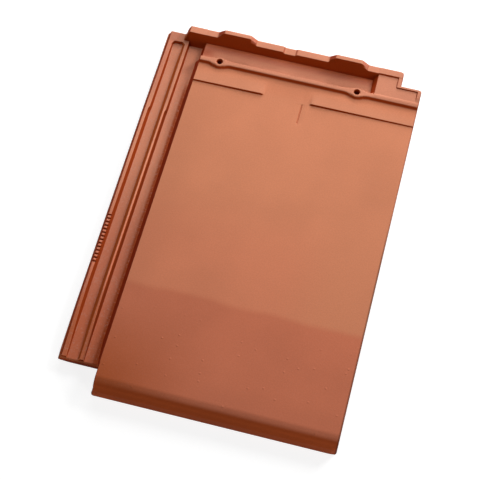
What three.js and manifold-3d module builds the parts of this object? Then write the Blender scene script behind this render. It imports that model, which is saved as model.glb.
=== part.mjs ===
// Flat interlocking clay roof tile, pressed and fired as one piece.
// Millimetres. +X to the right and +Y to the head of the tile, seen from above. +Z up, floor at z = 0.
// The origin is on the floor, below the middle of the tile.
import * as THREE from 'three';
import { mergeVertices } from 'three/addons/utils/BufferGeometryUtils.js';
import Module from 'manifold-3d';

const wasm = await Module();
wasm.setup();

// Overall
const width = 298;
const length = 455.5;
const right = width / 2;
const left = -width / 2;
const head = length / 2;
const tail = -length / 2;
const cornerRadius = 3.5;
const draft = 0.45; // run over rise of the walls that the press leaves
const spare = 5;    // how far a cutting solid reaches past the surface that it cuts
const above = 60;   // height that clears every part of the tile

// Levels above the floor
const face = 24;              // weather face
const underside = 11;         // bottom of the plate, 13 mm thick
const stripTop = face + 3.3;  // raised strip with the nail holes, and the head platform
const rimTop = face + 4.5;    // head rim
const nibTop = rimTop + 6.5;  // two raised nibs on the rim
const headFloor = face - 4.5; // floor of the head channel
const ribTop = face - 7;      // ribs of the side lock
const lockFloor = face - 12;  // floor of the two side channels
const lockBottom = 4.5;       // bottom of the side lock

// Side lock, by distance from the left edge: outer rib, channel, middle rib and channel
const lockHead = head - 4.5;
const lockTail = tail + 27.25;
const outerRib = { wallTop: 5.1, topLeft: 3.3, topRight: 8.7, foot: 9.8 };
const middleRib = { start: 19.6, topLeft: 23.3, topRight: 27.1, foot: 28.1 };
const channelHead = head - 17.95;
const ribTail = { foot: lockTail + 1.3, slope: 0.2 };
const flangeBevel = 1.8;

// The inner flanks of both ribs are steep at the ends of the tile and lean back between them.
// lean is 1 where they lean back in full; bow is how far the left edge draws in.
const lockStations = [
  { y: lockTail, bow: 0.9, lean: -0.5, ribTop: ribTop - 1.5 },
  { y: -140, bow: 0.3, lean: 0.8, ribTop },
  { y: -110, bow: 0.2, lean: 1.15, ribTop },
  { y: 113, bow: 0, lean: 1, ribTop },
  { y: 117, bow: 0, lean: 0.35, ribTop },
  { y: channelHead - cornerRadius - 1, bow: 0.5, lean: 0, ribTop },
  { y: lockHead, bow: 0.5, lean: 0, ribTop },
];
const leanRun = { outerTop: 1.9, outerFoot: 0.6, middleTop: 1.6, middleFoot: 0.3 };

const bodyFoot = left + 40.6; // where the wall beside the face meets the channel floor
const lockInner = left + 50;  // the side lock's solid runs on into the body up to here

// Grip notches across the outer rib
const notch = { count: 14, first: -26.2, pitch: 4.6, headRun: 0.8, tailRun: 1.5, deep: 1.4, end: 7.2 };

// Left edge of the body, at places from the tail to the head. The wall below it is laid back, from
// the level of the face or of the head channel's floor; the strip's end above is upright.
const bodyLeft = [
  { y: lockTail, x: left + 45.7, level: face },
  { y: 0, x: left + 46.0, level: face },
  { y: 150, x: left + 46.3, level: face },
  { y: 191.5, x: left + 46.5, level: face },
  { y: 193.5, x: left + 47.0, level: headFloor },
  { y: head + spare, x: left + 47.4, level: headFloor },
];

// Head lock
const rimWide = 8.8;
const rimLeft = left + 25.9;
const rimNib = { centres: [-67.4, 62.0], top: 29.7, slope: 8.0 };
const rimGap = { centre: -5.6, wide: 16.5, slope: 2.2, deep: 1.6 };
const strip = { tailEdge: 186.2, headEdge: 191.4, tailRun: 0.88, headRun: 0.4 };
const swell = { length: 27, tailward: 3.8, headward: 2.6 }; // the strip's, round each nail hole
const nailHole = { x: [-79.6, 78.8], y: 188.6, radius: 3.1, mouth: 3.8, chamfer: 1 };
const platform = { left: 97.9, draft: 0.64 };
const headStep = { x: 125.3, y: head - 19.1, inner: 1.6 };
const border = { head: 8.5, step: 4.7, stepHead: 3.3, right: 4.35, end: 192.4, left: 12 };

// Marks on the face
const ledge = { y: 159.6, riseInner: 1.7, riseOuter: 0.9, leftEnd: -23, rightStart: 32.5, fade: 2.5 };
const centreMark = { x: 23.1, from: 157.7, to: 132.0, wide: 1.2, deep: 0.7 };

// Nose along the tail
const nose = { start: tail + 13.75, radius: 13, angle: 62, lip: 13.3, foot: 13.5, footRun: 3, bevel: 2 };
const noseLeft = { x: left + 45.6, draft: 0.11 };

// Underside
const cover = { left: 104, run: 1.5, roof: ribTop + 0.8, tail: -204, tip: lockFloor + 1, lip: 2.5 };
const coverRibs = [{ centre: 119.6, root: 8, end: 5 }, { centre: 138.4, root: 8, end: 5 }];
const hangNib = { face: 199, bevel: 1, root: 15, end: 10.5, wide: 42 };
const stiffRib = { x: [-62, 0, 62], wide: 9, deep: 3, from: -190, to: 140 };

// Geometry and solids
function solid(geometry) {
  const bare = geometry.clone();
  bare.deleteAttribute('normal');
  bare.deleteAttribute('uv');
  const merged = mergeVertices(bare, 1e-4);
  return new wasm.Manifold(new wasm.Mesh({
    numProp: 3,
    vertProperties: new Float32Array(merged.attributes.position.array),
    triVerts: new Uint32Array(merged.index.array),
  }));
}

function outline(points) {
  return new THREE.Shape(points.map(([x, y]) => new THREE.Vector2(x, y)));
}

function extrusion(shape, depth) {
  return new THREE.ExtrudeGeometry(shape, { depth, bevelEnabled: false, curveSegments: 8 });
}

// Plan outline drawn in X and Y, raised from z0 to z1
function raise(shape, z0, z1) {
  return solid(extrusion(shape, z1 - z0).translate(0, 0, z0));
}

// Section drawn in Y and Z, run along X from x0 to x1
function runAlongX(shape, x0, x1) {
  const geometry = extrusion(shape, x1 - x0).rotateX(Math.PI / 2).rotateZ(Math.PI / 2);
  return solid(geometry.translate(x0, 0, 0));
}

// Section drawn in X and Z, run along Y from y0 to y1
function runAlongY(shape, y0, y1) {
  return solid(extrusion(shape, y1 - y0).rotateX(Math.PI / 2).translate(0, y1, 0));
}

function box(x0, x1, y0, y1, z0, z1) {
  const geometry = new THREE.BoxGeometry(x1 - x0, y1 - y0, z1 - z0);
  return solid(geometry.translate((x0 + x1) / 2, (y0 + y1) / 2, (z0 + z1) / 2));
}

// Sections joined in order, each drawn in two axes at its own place along the third
function loft(sections, place) {
  const count = sections[0].points.length;
  const vertices = sections.flatMap(({ at, points }) => points.flatMap(([u, v]) => place(u, v, at)));
  const drawn = sections[0].points.map(([u, v]) => new THREE.Vector2(u, v));
  const caps = THREE.ShapeUtils.triangulateShape(drawn, []);
  const last = (sections.length - 1) * count;
  const index = caps.flatMap(([a, b, c]) => [a, b, c, last + a, last + c, last + b]);
  for (let ring = 0; ring < last; ring += count) {
    for (let i = 0; i < count; i += 1) {
      const a = ring + i;
      const b = ring + ((i + 1) % count);
      index.push(a, a + count, b, b, a + count, b + count);
    }
  }
  const geometry = new THREE.BufferGeometry();
  geometry.setAttribute('position', new THREE.Float32BufferAttribute(vertices, 3));
  geometry.setIndex(index);
  return solid(geometry);
}

// Sections in X and Z, from the tail to the head
function loftAlongY(sections) {
  return loft(sections, (x, z, y) => [x, y, z]);
}

// Sections in Y and Z, from the right to the left
function loftAlongX(sections) {
  return loft(sections, (y, z, x) => [x, y, z]);
}

// Plans in X and Y, from the top to the bottom
function loftAlongZ(sections) {
  return loft(sections, (x, y, z) => [x, y, z]);
}

// Body: one section from the head channel over the face to the nose, run along the width
function bodySection() {
  const bend = THREE.MathUtils.degToRad(nose.angle);
  const shape = new THREE.Shape();
  shape.moveTo(head, underside);
  shape.lineTo(head, headFloor);
  shape.lineTo(strip.tailEdge, headFloor);
  shape.lineTo(strip.tailEdge, face);
  shape.lineTo(nose.start, face);
  shape.absarc(nose.start, face - nose.radius, nose.radius, Math.PI / 2, Math.PI / 2 + bend, false);
  shape.lineTo(tail, nose.lip);
  shape.lineTo(tail, nose.bevel);
  shape.lineTo(tail + nose.bevel / 2, 0);
  shape.lineTo(tail + nose.foot, 0);
  shape.lineTo(tail + nose.foot + nose.footRun, underside);
  return shape;
}

// Plan of the raised strip at one level: a narrow band that swells round each nail hole. Its tail
// flank is laid back and its head flank is steep.
function stripPlan(z) {
  const low = strip.tailEdge - strip.tailRun * (stripTop - z);
  const high = strip.headEdge + strip.headRun * (stripTop - z);
  const half = swell.length / 2;
  const pull = half * 0.45;
  const reach = 15;
  const shape = new THREE.Shape();
  shape.moveTo(bodyFoot - reach, low);
  for (const x of nailHole.x) {
    shape.lineTo(x - half, low);
    shape.bezierCurveTo(x - half + pull, low, x - pull, low - swell.tailward, x, low - swell.tailward);
    shape.bezierCurveTo(x + pull, low - swell.tailward, x + half - pull, low, x + half, low);
  }
  shape.lineTo(right + reach, low);
  shape.lineTo(right + reach, high);
  for (const x of [...nailHole.x].reverse()) {
    shape.lineTo(x + half, high);
    shape.bezierCurveTo(x + half - pull, high, x + pull, high + swell.headward, x, high + swell.headward);
    shape.bezierCurveTo(x - pull, high + swell.headward, x - half + pull, high, x - half, high);
  }
  shape.lineTo(bodyFoot - reach, high);
  return shape.getPoints(10).map(({ x, y }) => [x, y]);
}

function raisedStrip() {
  return loftAlongZ([stripTop, headFloor - 1].map((z) => ({ at: z, points: stripPlan(z) })));
}

// Platform right of the head channel, level with the strip, inside a low border
function headPlatform() {
  const drop = stripTop - headFloor;
  const section = outline([
    [platform.left, stripTop], [platform.left - platform.draft * (drop + 1), headFloor - 1],
    [right, headFloor - 1], [right, stripTop],
  ]);
  return runAlongY(section, strip.tailEdge + 1, head);
}

function platformBorder() {
  const stepX = headStep.x - border.step;
  const stepY = headStep.y - border.stepHead;
  const ring = outline([
    [platform.left - border.left, head], [right, head], [right, border.end],
    [right - border.right, border.end], [right - border.right, stepY], [stepX, stepY],
    [stepX, head - border.head], [platform.left - border.left, head - border.head],
  ]);
  return raise(ring, stripTop - 1, rimTop);
}

// Corner of the plan that is cut away at the head, right
function headStepCut() {
  const r = cornerRadius;
  const inner = headStep.inner;
  const quarter = Math.PI / 2;
  const shape = new THREE.Shape();
  shape.moveTo(headStep.x - r, head);
  shape.absarc(headStep.x - r, head - r, r, quarter, 0, true);
  shape.absarc(headStep.x + inner, headStep.y + inner, inner, Math.PI, quarter * 3, false);
  shape.absarc(right - r, headStep.y - r, r, quarter, 0, true);
  shape.lineTo(right + spare, headStep.y - r);
  shape.lineTo(right + spare, head + spare);
  shape.lineTo(headStep.x - r, head + spare);
  return raise(shape, -spare, above);
}

// Head rim: its section along the width, trimmed to its elevation with the two nibs and the gap
function headRim() {
  const innerTop = head - rimWide + draft * (nibTop - rimTop);
  const innerFoot = innerTop - draft * (nibTop - underside);
  const section = outline([
    [head, underside], [head, nibTop], [innerTop, nibTop], [innerFoot, underside],
  ]);
  const points = [[rimLeft - draft * (rimTop - underside), underside], [rimLeft, rimTop]];
  const [nibLeft, nibRight] = rimNib.centres.map((centre) => [
    [centre - rimNib.top / 2 - rimNib.slope, rimTop], [centre - rimNib.top / 2, nibTop],
    [centre + rimNib.top / 2, nibTop], [centre + rimNib.top / 2 + rimNib.slope, rimTop],
  ]);
  const low = rimGap.wide / 2 - rimGap.slope;
  const gap = [
    [rimGap.centre - rimGap.wide / 2, rimTop], [rimGap.centre - low, rimTop - rimGap.deep],
    [rimGap.centre + low, rimTop - rimGap.deep], [rimGap.centre + rimGap.wide / 2, rimTop],
  ];
  points.push(...nibLeft, ...gap, ...nibRight, [right, rimTop], [right, underside]);
  const elevation = runAlongY(outline(points), innerFoot - spare, head);
  return runAlongX(section, left, right).intersect(elevation);
}

function nailHoleCut(x) {
  const { radius, mouth, chamfer } = nailHole;
  const points = [
    [0, underside - spare], [radius, underside - spare], [radius, stripTop - chamfer], [mouth, stripTop],
    [mouth, stripTop + spare], [0, stripTop + spare],
  ].map(([r, z]) => new THREE.Vector2(r, z));
  const geometry = new THREE.LatheGeometry(points, 24).rotateX(Math.PI / 2);
  return solid(geometry.translate(x, nailHole.y, 0));
}

// Low ledge on the face: it steps down towards the tail, runs out towards the strip and is tallest
// at its inner end, where it stops short
function ledgeWedge(outerX, innerX) {
  const inward = Math.sign(innerX - outerX);
  const deep = 4;
  const section = (x, rise) => ({ at: x, points: [
    [strip.tailEdge, face - deep], [strip.tailEdge, face - 0.2], [ledge.y + 0.4, face + rise],
    [ledge.y, face + rise - 0.5], [ledge.y, face - deep],
  ] });
  const sections = [
    section(outerX - inward * spare, ledge.riseOuter), section(innerX, ledge.riseInner),
    section(innerX + inward * ledge.fade, -1),
  ];
  return loftAlongX(inward > 0 ? sections.reverse() : sections);
}

// Section of the side lock's outer rib, channel, middle rib and channel, at one place along the tile
function lockSection({ y, bow, lean, ribTop: top }) {
  const run = (distance, travel) => left + distance - travel * lean;
  return { at: y, points: [
    [left + bow, lockBottom], [lockInner, lockBottom], [lockInner, lockFloor],
    [run(middleRib.foot, leanRun.middleFoot), lockFloor], [run(middleRib.topRight, leanRun.middleTop), top],
    [left + middleRib.topLeft, top], [left + middleRib.start, lockFloor],
    [run(outerRib.foot, leanRun.outerFoot), lockFloor], [run(outerRib.topRight, leanRun.outerTop), top],
    [left + outerRib.topLeft + bow, top], [left + bow, lockBottom + outerRib.wallTop],
  ] };
}

// Land at the head of the side lock, with the rounded end of the outer channel
function lockLand() {
  const { bow } = lockStations.at(-1);
  const section = outline([
    [left + bow, lockBottom], [left + bow, lockBottom + outerRib.wallTop],
    [left + outerRib.topLeft + bow, ribTop], [left + middleRib.topRight, ribTop],
    [left + middleRib.foot, lockFloor], [left + middleRib.foot, lockBottom],
  ]);
  const land = runAlongY(section, channelHead - cornerRadius, lockHead);
  const channelEnd = (x0, x1) => {
    const r = cornerRadius;
    const plan = new THREE.Shape();
    plan.moveTo(x0, channelHead - r - spare);
    plan.lineTo(x1, channelHead - r - spare);
    plan.absarc(x1 - r, channelHead - r, r, 0, Math.PI / 2, false);
    plan.absarc(x0 + r, channelHead - r, r, Math.PI / 2, Math.PI, false);
    return plan.getPoints(6).map(({ x, y }) => [x, y]);
  };
  const flankRun = outerRib.foot - outerRib.topRight;
  const wallRun = middleRib.topLeft - middleRib.start;
  return land.subtract(loftAlongZ([
    { at: ribTop + (ribTop - lockFloor),
      points: channelEnd(left + outerRib.foot - flankRun * 2, left + middleRib.start + wallRun * 2) },
    { at: lockFloor, points: channelEnd(left + outerRib.foot, left + middleRib.start) },
  ]));
}

// Plan of the side lock, with a rounded tail corner and a chamfered head corner
function lockPlan() {
  const r = cornerRadius;
  const { bow: tailBow } = lockStations[0];
  const { bow: headBow } = lockStations.at(-1);
  const chamfer = { along: 6, across: 3 };
  const shape = new THREE.Shape();
  shape.moveTo(left - 1, lockTail + r);
  shape.lineTo(left + tailBow, lockTail + r);
  shape.absarc(left + tailBow + r, lockTail + r, r, Math.PI, Math.PI * 1.5, false);
  shape.lineTo(lockInner, lockTail);
  shape.lineTo(lockInner, lockHead);
  shape.lineTo(left + headBow + chamfer.across, lockHead);
  shape.lineTo(left + headBow, lockHead - chamfer.along);
  shape.lineTo(left - 1, lockHead - chamfer.along);
  return shape;
}

// Grip notches: V grooves, steeper on their head side
function gripNotches() {
  const cuts = [];
  for (let i = 0; i < notch.count; i += 1) {
    const y = notch.first - i * notch.pitch;
    const section = outline([
      [y - notch.tailRun * 2, ribTop + notch.deep], [y, ribTop - notch.deep],
      [y + notch.headRun * 2, ribTop + notch.deep],
    ]);
    cuts.push(runAlongX(section, left - 1, left + notch.end));
  }
  return cuts;
}

// The ribs stop just short of the flange's tail edge, and the flange's lower edge is bevelled
function lockTailCuts() {
  const { foot, slope } = ribTail;
  const ribs = outline([
    [lockTail - spare, lockFloor], [foot, lockFloor], [foot + slope * (above - lockFloor), above],
    [lockTail - spare, above],
  ]);
  const lower = outline([
    [lockTail - spare, lockBottom - spare], [lockTail + flangeBevel + spare, lockBottom - spare],
    [lockTail - spare, lockBottom + flangeBevel + spare],
  ]);
  return [runAlongX(ribs, left - spare, lockInner), runAlongX(lower, left - spare, lockInner + 1)];
}

function sideLock() {
  let lock = loftAlongY(lockStations.map(lockSection)).add(lockLand());
  lock = lock.intersect(raise(lockPlan(), 0, above));
  for (const cut of [...lockTailCuts(), ...gripNotches()]) lock = lock.subtract(cut);
  return lock;
}

// Laid back wall between the face and the side lock
function leftWallCut() {
  const reach = 60;
  const low = lockFloor - 0.5;
  return loftAlongY(bodyLeft.map(({ y, x, level }) => ({ at: y, points: [
    [x - reach, low], [x - draft * (level - low), low], [x, level], [x, above], [x - reach, above],
  ] })));
}

// Envelope of the body, with the drafted left end of the nose and the rounded tail corners
function bodyEnvelope() {
  const r = cornerRadius;
  const plan = (z) => {
    const x = noseLeft.x - noseLeft.draft * (face - z);
    const shape = new THREE.Shape();
    shape.moveTo(left, lockTail);
    shape.lineTo(x, lockTail);
    shape.absarc(x + r, tail + r, r, Math.PI, Math.PI * 1.5, false);
    shape.absarc(right - r, tail + r, r, Math.PI * 1.5, Math.PI * 2, false);
    shape.lineTo(right, head);
    shape.lineTo(left, head);
    return shape.getPoints(8).map(({ x: u, y: v }) => [u, v]);
  };
  return loftAlongZ([{ at: above, points: plan(above) }, { at: -spare, points: plan(-spare) }]);
}

// Underside of the right edge, which covers the next tile's side lock
function coverCut() {
  const points = [[cover.left, -spare], [cover.left, underside], [cover.left + cover.run, cover.roof]];
  for (const rib of coverRibs) {
    points.push([rib.centre - rib.root / 2, cover.roof], [rib.centre - rib.end / 2, cover.tip]);
    points.push([rib.centre + rib.end / 2, cover.tip], [rib.centre + rib.root / 2, cover.roof]);
  }
  const lipTop = cover.roof + 3;
  points.push([right - cover.lip, cover.roof], [right + 0.5, lipTop], [right + spare, lipTop]);
  points.push([right + spare, -spare]);
  return runAlongY(outline(points), cover.tail, head + spare);
}

function hangingNib(centre) {
  const { face: front, bevel, end, root, wide } = hangNib;
  const section = outline([
    [front, underside + 1], [front, bevel], [front + bevel, 0], [front + end - bevel, 0],
    [front + root, underside + 1],
  ]);
  return runAlongX(section, centre - wide / 2, centre + wide / 2);
}

function stiffeningRib(x) {
  const half = stiffRib.wide / 2;
  const flank = stiffRib.deep / 2;
  const section = outline([
    [x - half, underside + 1], [x - half + flank, underside - stiffRib.deep],
    [x + half - flank, underside - stiffRib.deep], [x + half, underside + 1],
  ]);
  return runAlongY(section, stiffRib.from, stiffRib.to);
}

function centreMarkCut() {
  const { x, wide, to, from, deep } = centreMark;
  return box(x - wide / 2, x + wide / 2, to, from, face - deep, above);
}

function roofTile() {
  const bodyRoom = box(bodyFoot - 2, right, 0, head, 0, above);
  let body = runAlongX(bodySection(), bodyFoot - 2, right);
  body = body.add(raisedStrip().intersect(bodyRoom)).add(headPlatform()).add(platformBorder());
  body = body.add(ledgeWedge(bodyFoot, ledge.leftEnd).intersect(bodyRoom));
  body = body.add(ledgeWedge(right, ledge.rightStart).intersect(bodyRoom));
  body = body.subtract(leftWallCut()).intersect(bodyEnvelope());

  let tile = body.add(sideLock()).add(headRim());
  for (const cut of [headStepCut(), coverCut(), centreMarkCut()]) tile = tile.subtract(cut);
  for (const x of nailHole.x) tile = tile.subtract(nailHoleCut(x));
  for (const centre of rimNib.centres) tile = tile.add(hangingNib(centre));
  for (const x of stiffRib.x) tile = tile.add(stiffeningRib(x));
  return tile;
}

function meshFrom(manifold, name, material) {
  const { vertProperties, triVerts } = manifold.getMesh();
  const geometry = new THREE.BufferGeometry();
  geometry.setAttribute('position', new THREE.BufferAttribute(new Float32Array(vertProperties), 3));
  geometry.setIndex(new THREE.BufferAttribute(new Uint32Array(triVerts), 1));
  geometry.computeVertexNormals();
  const mesh = new THREE.Mesh(geometry, material);
  mesh.name = name;
  return mesh;
}

const firedClay = new THREE.MeshStandardMaterial({ color: '#c4775a', roughness: 0.8, metalness: 0 });

const part = new THREE.Group();
part.add(meshFrom(roofTile(), 'roof_tile', firedClay));

export default part;
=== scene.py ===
import math
import bpy
import mathutils
import numpy as np
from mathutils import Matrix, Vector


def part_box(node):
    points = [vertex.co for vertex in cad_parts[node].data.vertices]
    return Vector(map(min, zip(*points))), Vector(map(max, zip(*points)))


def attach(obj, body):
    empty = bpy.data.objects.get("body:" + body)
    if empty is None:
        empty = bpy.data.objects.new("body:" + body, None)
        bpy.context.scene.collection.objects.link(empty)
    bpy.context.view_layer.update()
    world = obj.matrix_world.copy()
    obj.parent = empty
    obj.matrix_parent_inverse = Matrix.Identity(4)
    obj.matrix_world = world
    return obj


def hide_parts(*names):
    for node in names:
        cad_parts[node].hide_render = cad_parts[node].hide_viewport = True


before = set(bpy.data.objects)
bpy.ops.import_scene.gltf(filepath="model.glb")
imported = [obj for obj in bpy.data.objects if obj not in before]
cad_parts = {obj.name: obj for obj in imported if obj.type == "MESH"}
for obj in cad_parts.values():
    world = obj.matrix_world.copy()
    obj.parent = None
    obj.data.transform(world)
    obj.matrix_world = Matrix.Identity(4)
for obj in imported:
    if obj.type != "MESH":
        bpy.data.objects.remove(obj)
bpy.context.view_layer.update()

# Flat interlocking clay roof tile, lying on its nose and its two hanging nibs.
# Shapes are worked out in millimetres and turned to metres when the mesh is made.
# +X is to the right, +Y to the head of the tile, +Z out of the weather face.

print("camera")

camera = {
    "place": (0.153887, -0.78244, 1.40721),
    "right": (0.96897, 0.24584, 0.02563),   # its own axes, as directions in the frame
    "up": (-0.22695, 0.84382, 0.48628),
    "back": (0.09792, -0.47700, 0.87343),
    "lens": 112.5,
    "sensor": 36.0,
}


def makeCamera():
    data = bpy.data.cameras.new("camera")
    data.lens = camera["lens"]
    data.sensor_width = camera["sensor"]
    axes = mathutils.Matrix((camera["right"], camera["up"], camera["back"])).transposed()
    seat = bpy.data.objects.new("camera", data)
    seat.matrix_world = mathutils.Matrix.Translation(camera["place"]) @ axes.to_4x4()
    bpy.context.scene.collection.objects.link(seat)
    bpy.context.scene.camera = seat


makeCamera()

print("tile shape")

low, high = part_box("roof_tile")
left, right = low[0] * 1000, high[0] * 1000
tail, head = low[1] * 1000, high[1] * 1000

# A run is how far a flank goes across for each millimetre up, and a slope is how far it goes up for
# each millimetre across. "over" is the length of a slow change.
tile = {
    # levels above the floor
    "face": 24.0,               # weather face
    "stripTop": 27.3,           # strip with the nail holes, and the platform right of the head channel
    "rimTop": 28.5,
    "nibTop": 35.0,
    "headFloor": 19.5,          # head channel
    "ribTop": 17.0,             # side lock: ribs, channels and underside
    "lockFloor": 12.0,
    "lockBottom": 4.5,
    "underside": 11.0,

    # plan
    "lockTail": -200.5,
    "lockHead": head - 4.5,
    "lockRight": -103.9,        # what lies left of this belongs to the side lock
    "step": (125.3, 208.65),    # corner cut out at the head: what lies right of and beyond this is gone
    "corners": {                # radii
        "lockTail": 3.2, "noseLeft": 3.0, "noseRight": 3.5, "step": 3.2, "rimLeft": 2.2, "lockHead": 4.5,
    },

    # edges and walls
    "arris": 1.1,               # radius of the outer edges
    "underArris": 0.8,          # share of it on the underside
    "lockArris": 0.55,          # radius along the side lock
    "tailArris": {"radius": 2.1, "from": 6.0, "over": 3.5},     # and across its tail end
    "soft": 0.9,                # how far pressed corners are rounded
    "draft": 0.45,              # run of the walls left by the press
    "hair": 0.01,               # for comparing places

    # side lock, at places from the tail to the head: how far its left edge draws in, and how far the
    # inner flanks of both ribs lean back (1 is in full)
    "lockPlaces": (-200.5, -140.0, -110.0, 113.0, 117.0, 205.0),
    "lockBow": (0.9, 0.3, 0.2, 0.0, 0.0, 0.5),
    "lockLean": (-0.5, 0.8, 1.15, 1.0, 0.35, 0.0),
    # its edges by distance from the left, and what bow and lean do to them
    "lockEdges": {
        "edge": (0.0, 1, 0.0),
        "outerLeft": (3.3, 1, 0.0),
        "outerRight": (8.7, 0, -1.9),
        "outerFoot": (9.8, 0, -0.6),
        "middleStart": (20.2, 0, 0.0),
        "middleLeft": (23.3, 0, 0.0),
        "middleRight": (27.1, 0, -1.6),
        "middleFoot": (28.1, 0, -0.3),
    },
    "rib": {                    # runs of both left flanks, and how far the right ones reach at least
        "outerRun": 0.45, "middleRun": 0.74, "leastReach": 0.35, "tailEnd": -198.9, "endRun": 0.12,
    },
    "ribFall": {"from": -140.0, "over": 60.0, "by": 2.6},       # of both ribs towards the tail
    "notch": {                  # grip notches across the outer rib
        "count": 14, "first": -29.0, "pitch": 4.454, "deep": 2.0, "wide": 7.6,
        "headReach": 0.9, "tailReach": 1.6,     # how far both flanks of a notch go
    },
    "land": {                   # level ground at the head end, round the rounded end of the outer channel
        "channelEnd": 209.8, "turn": 3.5, "leftRun": 0.22, "rightRun": 0.74, "headRun": 0.16,
        "outerRun": 0.45, "innerRun": 0.2,      # its own flanks
    },
    "hollow": {"deep": 0.35, "wide": 4.5, "over": 3.0},         # along the left of both channels
    "channelRise": {"from": 176.0, "over": 32.0, "by": 1.7, "edge": 2.0},       # of the outer channel's floor

    # body: its left edge, the level from which the wall below is laid back, and how far
    "bodyPlaces": (-200.0, 0.0, 150.0, 191.5, 193.5, 227.0),
    "bodyEdges": (-103.3, -103.0, -102.7, -102.5, -102.0, -101.6),
    "bodyLevels": (24.0, 24.0, 24.0, 24.0, 19.5, 19.5),
    "wallPlaces": (-200.5, -188.0, -172.0),
    "wallRuns": (0.22, 0.33, 0.45),
    "uprightRun": 0.1,          # of the wall above that level
    "nose": {                   # bent down at the tail, where the tile stands on its sole
        "start": tail + 13.75, "radius": 13.0, "angle": 62.0, "lip": 13.3, "left": -103.4, "draft": 0.11,
        "sole": 13.5, "backSlope": 3.6, "backFoot": 16.6,
    },
    "ledge": {                  # step across the face, higher on the side of the head
        "line": 159.6, "run": 1.7, "lean": 0.0081, "leanFrom": 30.0,        # its line turns about this x
        "leftEnd": -23.0, "rightEnd": 32.5, "endRun": 2.5, "endShare": 0.6,
        "riseLeft": 1.6, "riseInner": 2.0, "riseRight": 1.2,        # left edge, inner ends, right edge
        "gone": 183.5,          # it dies out up to here
    },
    "mark": {                   # short groove on the body's centre line
        "place": 23.1, "tail": 132.0, "head": 157.7, "half": 1.05, "deep": 1.0, "endRun": 2.0,
    },

    # head lock
    "strip": {"tail": 186.2, "head": 191.4, "tailRun": 0.88, "headRun": 0.4},
    "swell": {"tailward": 3.8, "headward": 2.6, "half": 13.5},      # of the strip round a nail hole
    "hole": {"places": (-79.6, 78.8), "line": 188.6, "radius": 3.1, "mouth": 3.8},      # for nails
    "headRise": {"from": 209.0, "over": 15.0, "by": 0.8},           # of the head channel's floor to the strip
    "platform": {"left": 97.9, "tail": 188.2, "draft": 0.64},
    "border": {                 # raised edge of the platform: inner lines, and where it fades out
        "head": 219.3, "stepLeft": 120.6, "stepTail": 205.4, "sideLeft": 144.65, "sideTail": 192.4,
        "run": 0.8, "from": 191.0, "over": 9.0,
    },
    "rim": {"inner": head - 8.8, "left": -123.1, "notch": -127.0},      # left of notch the outline steps back
    "nib": {"places": (-67.4, 62.0), "wide": 29.7, "slope": 8.0, "soft": 1.2},          # on the rim
    "gap": {"place": -5.6, "wide": 16.5, "slope": 2.2, "deep": 1.6, "soft": 0.6},       # shallow, in the rim

    # underside
    "plate": {"left": -99.5, "run": 0.3},
    "underRib": {
        "places": (-62.0, 0.0, 62.0), "half": 3.0, "deep": 3.0, "tail": -190.0, "head": 140.0, "slope": 2.0,
    },
    "cover": {                  # recess over the next tile's side lock, and its two ribs
        "left": 104.0, "tail": -204.0, "clear": 0.8, "slope": 4.5,
        "ribs": (119.6, 138.4), "ribHalf": 2.5, "ribLevel": 13.0, "ribSlope": 3.2,
    },
    "hanging": {                # hanging nibs, below the nibs of the rim
        "half": 21.0, "tail": 199.2, "head": 208.5, "sideRun": 0.12, "tailRun": 0.06, "headSlope": 2.0,
    },

    # how widely forms run into each other
    "blend": {
        "stripFlanks": 1.0, "stripTop": 1.2, "stripFoot": 2.0, "rimTop": 1.6, "rimFoot": 1.4,
        "ribFlanks": 0.6, "ribTop": 0.7, "ribEnd": 0.8, "channels": 1.2, "bodyTop": 1.0, "bodyFoot": 1.6,
        "underRib": 0.8, "hanging": 1.2, "sole": 1.2,
    },

    "grid": {
        "widest": 6.5, "widestUnder": 14.0, "nearest": 0.16,        # between its lines
        "straight": -90.0,      # right of this its lines run straight
        "holeRings": 4.2, "holeOver": 2.8,      # rings round a nail hole, and how soon they turn square
        "ledgeRows": 9.6, "ledgeOver": 6.0,     # rows so near to the ledge lean with it
        "edgeShares": (0, 0.08, 0.3, 0.62, 1.1),        # of an arris, where lines follow it
    },
}


def ramp(t, w):
    # 0 at first, then t, with a soft turn between
    return np.where(t <= -w, 0.0, np.where(t >= w, t, (t + w) ** 2 / (4 * w)))


def smoothMax(a, b, k):
    return np.maximum(a, b) + np.maximum(k - np.abs(a - b), 0.0) ** 2 / (4 * k)


def smoothMin(a, b, k):
    return -smoothMax(-a, -b, k)


def smoothStep(t):
    t = np.clip(t, 0.0, 1.0)
    return t * t * (3 - 2 * t)


def beyond(t):
    # how far t is past 0
    return np.clip(t, 0, None)


def lockEdge(name, y):
    place, bow, lean = tile["lockEdges"][name]
    drawnIn = np.interp(y, tile["lockPlaces"], tile["lockBow"])
    leantBack = np.interp(y, tile["lockPlaces"], tile["lockLean"])
    return left + place + bow * drawnIn + lean * leantBack


def faceEdge(y):
    return np.interp(y, tile["bodyPlaces"], tile["bodyEdges"])


def wallLevel(y):
    return np.interp(y, tile["bodyPlaces"], tile["bodyLevels"])


def wallRun(y):
    return np.interp(y, tile["wallPlaces"], tile["wallRuns"])


def wallFoot(y):
    return faceEdge(y) - wallRun(y) * (wallLevel(y) - tile["lockFloor"])


def ledgeTurn(x):
    return tile["ledge"]["lean"] * (x - tile["ledge"]["leanFrom"])


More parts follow.
